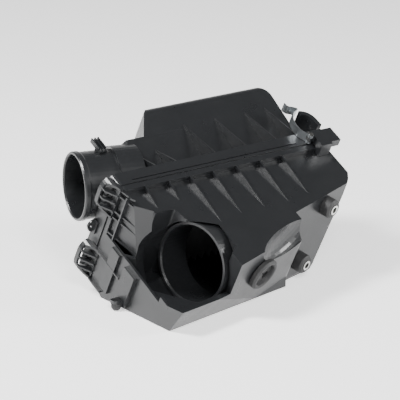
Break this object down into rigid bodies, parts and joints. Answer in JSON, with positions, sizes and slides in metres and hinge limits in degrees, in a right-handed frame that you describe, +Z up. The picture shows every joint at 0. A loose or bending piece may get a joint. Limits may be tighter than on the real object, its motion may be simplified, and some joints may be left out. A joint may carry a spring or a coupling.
{
  "type": "air filter housing",
  "caption": "Car engine air filter housing: a lower case with a recessed round inlet, a ribbed cover with an outlet tube, a pleated element, spring latches and rubber mounts.",
  "frame": {"origin": "centre of the bounding box in plan, on the floor plane the lower case stands on", "axes": "+Z up, +X to the right along the joint between case and cover, +Y back toward the cover; the joint plane leans back 27.8 degrees"},
  "size_m": [0.292, 0.2528, 0.1681],
  "materials": {
    "black_plastic": "fine satin moulded polypropylene",
    "rubber": "matte black moulded rubber",
    "zinc_steel": "zinc plated spring steel, bluish grey",
    "bright_steel": "bright turned steel",
    "filter_fabric": "dark grey pleated non-woven filter fabric",
    "seal_foam": "soft grey-black sealing rubber"
  },
  "bodies": {
    "case": {"lower_case": "black_plastic", "inlet_duct": "black_plastic", "filter_seal": "seal_foam", "filter_pleats": "filter_fabric", "latch_pin_upper": "bright_steel", "latch_carrier_upper": "black_plastic", "latch_pin_lower": "bright_steel", "latch_carrier_lower": "black_plastic", "mount_grommet_upper": "rubber", "mount_sleeve_upper": "bright_steel", "mount_grommet_lower": "rubber", "mount_sleeve_lower": "bright_steel", "support_puck": "rubber", "drain_stub": "rubber"},
    "cover": {"cover": "black_plastic", "outlet_duct": "black_plastic", "harness_clip": "black_plastic", "hose_bracket": "black_plastic"},
    "upper_latch": {"latch_strap_upper": "zinc_steel"},
    "lower_latch": {"latch_strap_lower": "zinc_steel"}
  },
  "joints": [
    {"name": "cover_hinge", "type": "hinge", "parent": "case", "child": "cover", "pos_m": [-0.13796, 0.02007, 0.07859], "axis": [0, -0.4664, 0.8846], "range_deg": [0, 30]},
    {"name": "upper_latch_pivot", "type": "hinge", "parent": "case", "child": "upper_latch", "pos_m": [0.11404, -0.01539, 0.13406], "axis": [0, -0.4664, 0.8846], "range_deg": [0, 120]},
    {"name": "lower_latch_pivot", "type": "hinge", "parent": "case", "child": "lower_latch", "pos_m": [0.11404, 0.05093, 0.00827], "axis": [0, -0.4664, 0.8846], "range_deg": [0, 90]}
  ],
  "couplings": [
    {"joint": "upper_latch_pivot", "follows": "cover_hinge", "ratio": 4},
    {"joint": "lower_latch_pivot", "follows": "cover_hinge", "ratio": 3}
  ]
}
